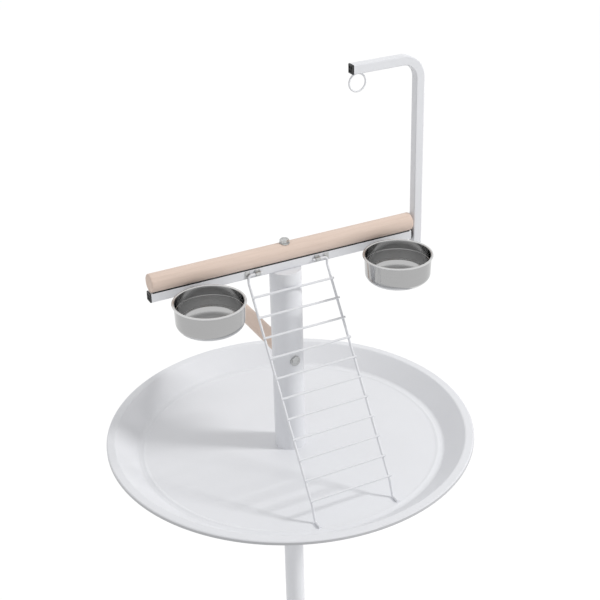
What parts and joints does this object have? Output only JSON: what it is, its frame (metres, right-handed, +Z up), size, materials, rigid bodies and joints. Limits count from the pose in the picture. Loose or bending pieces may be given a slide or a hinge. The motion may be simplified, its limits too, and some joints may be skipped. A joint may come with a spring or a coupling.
{
  "type": "parrot play stand",
  "caption": "Free-standing bird perch on a pole with a round litter tray, lift-off steel bowls, a hinged wire ladder, a toy hook and a caster base.",
  "frame": {"origin": "floor level on the axis of the pole", "axes": "+X along the perch towards the toy hook, -Y towards the ladder and bowls, +Z up"},
  "size_m": [0.61, 0.61, 1.3652],
  "materials": {
    "white_coat": "smooth white powder coat",
    "black_plug": "black moulded plastic",
    "white_plastic": "white moulded plastic",
    "beech": "sanded bare hardwood dowel",
    "zinc": "zinc plated steel",
    "stainless": "satin stainless steel",
    "wheel_rubber": "black rubber"
  },
  "bodies": {
    "stand": {"bar_end_plugs": "black_plug", "base_arms": "white_coat", "base_beam": "white_coat", "base_end_plugs": "black_plug", "bowl_hanger_left": "zinc", "bowl_hanger_right": "zinc", "caster_stems": "zinc", "column": "white_coat", "column_bush_bottom": "white_plastic", "column_bush_top": "white_plastic", "column_cap": "white_coat", "crossbar": "white_coat", "hanger_screws": "zinc", "hook_bracket": "white_coat", "hook_end_plugs": "black_plug", "hook_post": "white_coat", "hook_screws": "zinc", "ladder_knuckles": "zinc", "lower_perch": "beech", "lower_perch_bolt": "zinc", "lower_perch_saddle": "zinc", "lower_pole": "white_coat", "main_perch": "beech", "perch_bolt": "zinc", "perch_washer": "zinc", "pole_bolt": "zinc", "pole_socket": "white_coat", "socket_bolts": "zinc", "toy_ring": "white_coat", "tray": "white_coat", "tray_flange": "white_coat"},
    "ladder": {"ladder_rail_left": "white_coat", "ladder_rail_right": "white_coat", "ladder_rung_01": "white_coat", "ladder_rung_02": "white_coat", "ladder_rung_03": "white_coat", "ladder_rung_04": "white_coat", "ladder_rung_05": "white_coat", "ladder_rung_06": "white_coat", "ladder_rung_07": "white_coat", "ladder_rung_08": "white_coat", "ladder_rung_09": "white_coat", "ladder_rung_10": "white_coat", "ladder_rung_11": "white_coat"},
    "bowl_left": {"bowl_left": "stainless", "bowl_clip_left": "stainless"},
    "bowl_right": {"bowl_right": "stainless", "bowl_clip_right": "stainless"},
    "fork_left": {"caster_fork_left": "zinc", "caster_axle_left": "zinc"},
    "wheel_left": {"caster_wheel_left": "wheel_rubber"},
    "fork_right": {"caster_fork_right": "zinc", "caster_axle_right": "zinc"},
    "wheel_right": {"caster_wheel_right": "wheel_rubber"},
    "fork_front": {"caster_fork_front": "zinc", "caster_axle_front": "zinc"},
    "wheel_front": {"caster_wheel_front": "wheel_rubber"},
    "fork_back": {"caster_fork_back": "zinc", "caster_axle_back": "zinc"},
    "wheel_back": {"caster_wheel_back": "wheel_rubber"}
  },
  "joints": [
    {"name": "ladder_swing", "type": "hinge", "parent": "stand", "child": "ladder", "pos_m": [0, -0.011, 1.0641], "axis": [-1, 0, 0], "range_deg": [0, 120]},
    {"name": "bowl_left_lift", "type": "slide", "parent": "stand", "child": "bowl_left", "axis": [0, 0, 1], "range_m": [0, 0.06]},
    {"name": "bowl_right_lift", "type": "slide", "parent": "stand", "child": "bowl_right", "axis": [0, 0, 1], "range_m": [0, 0.06]},
    {"name": "caster_left_swivel", "type": "hinge", "parent": "stand", "child": "fork_left", "pos_m": [-0.262, 0, 0.06], "axis": [0, 0, 1], "continuous": true},
    {"name": "caster_left_roll", "type": "hinge", "parent": "fork_left", "child": "wheel_left", "pos_m": [-0.262, -0.016, 0.025], "axis": [1, 0, 0], "continuous": true},
    {"name": "caster_right_swivel", "type": "hinge", "parent": "stand", "child": "fork_right", "pos_m": [0.262, 0, 0.06], "axis": [0, 0, 1], "continuous": true},
    {"name": "caster_right_roll", "type": "hinge", "parent": "fork_right", "child": "wheel_right", "pos_m": [0.262, -0.016, 0.025], "axis": [1, 0, 0], "continuous": true},
    {"name": "caster_front_swivel", "type": "hinge", "parent": "stand", "child": "fork_front", "pos_m": [0, -0.262, 0.06], "axis": [0, 0, 1], "continuous": true},
    {"name": "caster_front_roll", "type": "hinge", "parent": "fork_front", "child": "wheel_front", "pos_m": [0, -0.278, 0.025], "axis": [1, 0, 0], "continuous": true},
    {"name": "caster_back_swivel", "type": "hinge", "parent": "stand", "child": "fork_back", "pos_m": [0, 0.262, 0.06], "axis": [0, 0, 1], "continuous": true},
    {"name": "caster_back_roll", "type": "hinge", "parent": "fork_back", "child": "wheel_back", "pos_m": [0, 0.246, 0.025], "axis": [1, 0, 0], "continuous": true}
  ]
}
